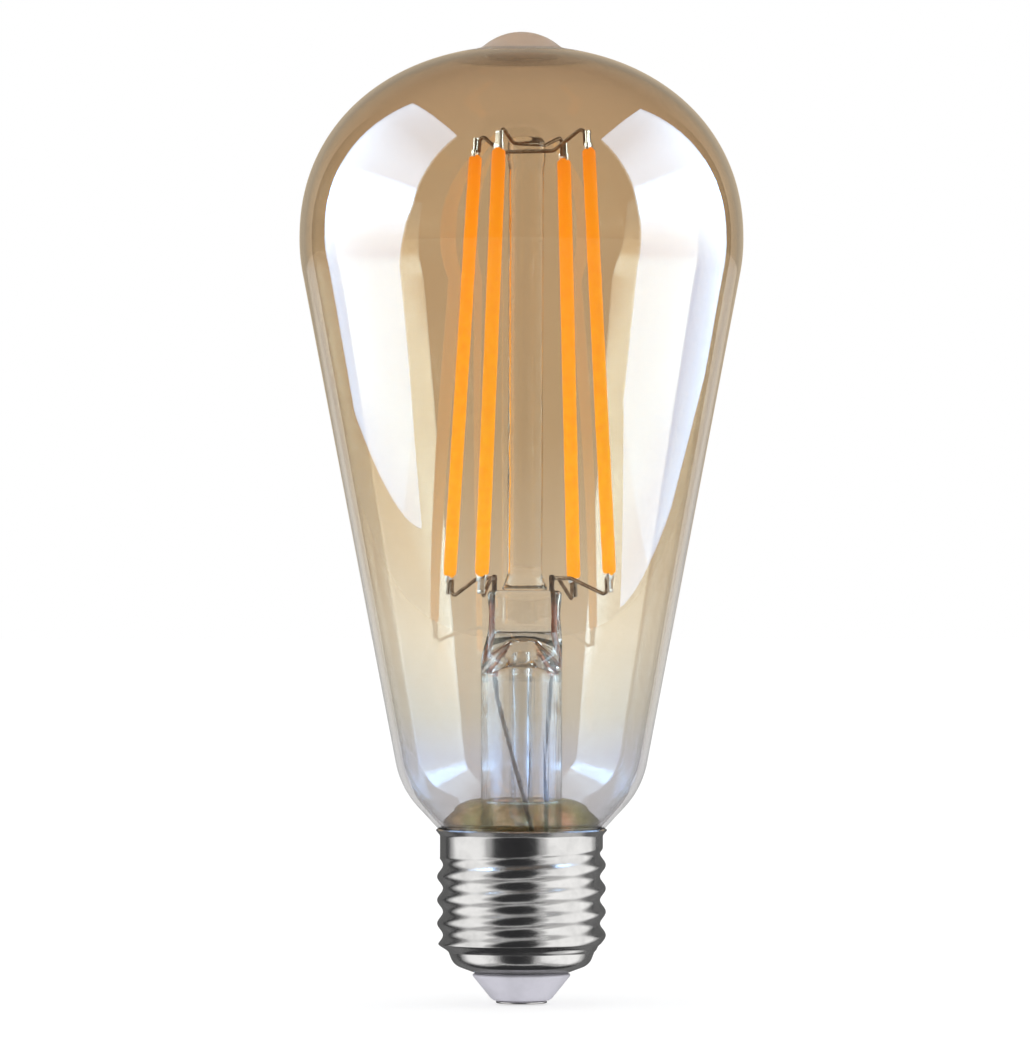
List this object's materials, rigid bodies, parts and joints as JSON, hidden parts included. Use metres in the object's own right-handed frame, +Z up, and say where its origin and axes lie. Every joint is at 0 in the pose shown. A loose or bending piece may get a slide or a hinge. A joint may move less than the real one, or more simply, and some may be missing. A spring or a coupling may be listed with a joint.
{
  "type": "smart light bulb",
  "caption": "Teardrop LED filament lamp with amber glass on an E27 screw cap, with its stem, filaments, driver and radio board.",
  "frame": {"origin": "centre of the bottom contact's flat face, the lamp's lowest point", "axes": "+Z up the lamp's axis from the bottom contact to the tip of the glass; -Y is the front that the filaments are set out from; +X is to the right seen from the front"},
  "size_m": [0.0688, 0.0688, 0.1505],
  "materials": {
    "amber_glass": "clear, with a thin amber vapour coat that fades out towards the neck",
    "clear_glass": "clear drawn tube",
    "phosphor_silicone": "satin, translucent at the skin",
    "nickel_plate": "bright nickel",
    "oxidised_wire": "dark, flame-oxidised",
    "tinned_copper": "satin",
    "white_insulator": "semi-gloss white",
    "basing_cement": "matt, grainy",
    "liner_plastic": "matt moulded",
    "circuit_board": "solder mask",
    "capacitor_sleeve": "shrink sleeve",
    "ferrite": "matt sintered",
    "magnet_wire": "enamelled copper",
    "resistor_body": "lacquered",
    "black_epoxy": "moulded epoxy, no marking",
    "film_capacitor": "dipped",
    "header_plastic": "moulded"
  },
  "bodies": {
    "root": {"glass_envelope": "amber_glass", "glass_stem": "clear_glass", "exhaust_tube": "clear_glass", "centre_rod": "clear_glass", "filament_1_phosphor": "phosphor_silicone", "filament_2_phosphor": "phosphor_silicone", "filament_3_phosphor": "phosphor_silicone", "filament_4_phosphor": "phosphor_silicone", "filament_1_strip": "nickel_plate", "filament_2_strip": "nickel_plate", "filament_3_strip": "nickel_plate", "filament_4_strip": "nickel_plate", "bridge_wire_1_4": "oxidised_wire", "bridge_wire_2_3": "oxidised_wire", "lead_in_wire_left": "oxidised_wire", "lead_in_wire_right": "oxidised_wire", "lower_arm_1": "oxidised_wire", "lower_arm_2": "oxidised_wire", "lower_arm_3": "oxidised_wire", "lower_arm_4": "oxidised_wire", "outer_lead_left": "tinned_copper", "outer_lead_right": "tinned_copper", "cap_shell": "nickel_plate", "cap_insulator": "white_insulator", "centre_contact": "nickel_plate", "neck_cement": "basing_cement", "insulating_liner": "liner_plastic", "driver_board": "circuit_board", "bulk_capacitor": "capacitor_sleeve", "inductor_core": "ferrite", "inductor_winding": "magnet_wire", "fusible_resistor": "resistor_body", "resistor_pin": "tinned_copper", "centre_wire": "tinned_copper", "shell_wire": "tinned_copper", "bridge_rectifier": "black_epoxy", "driver_chip": "black_epoxy", "input_capacitor": "film_capacitor", "module_header": "header_plastic", "wireless_board": "circuit_board", "module_shield": "nickel_plate", "module_aerial": "tinned_copper"}
  },
  "joints": []
}
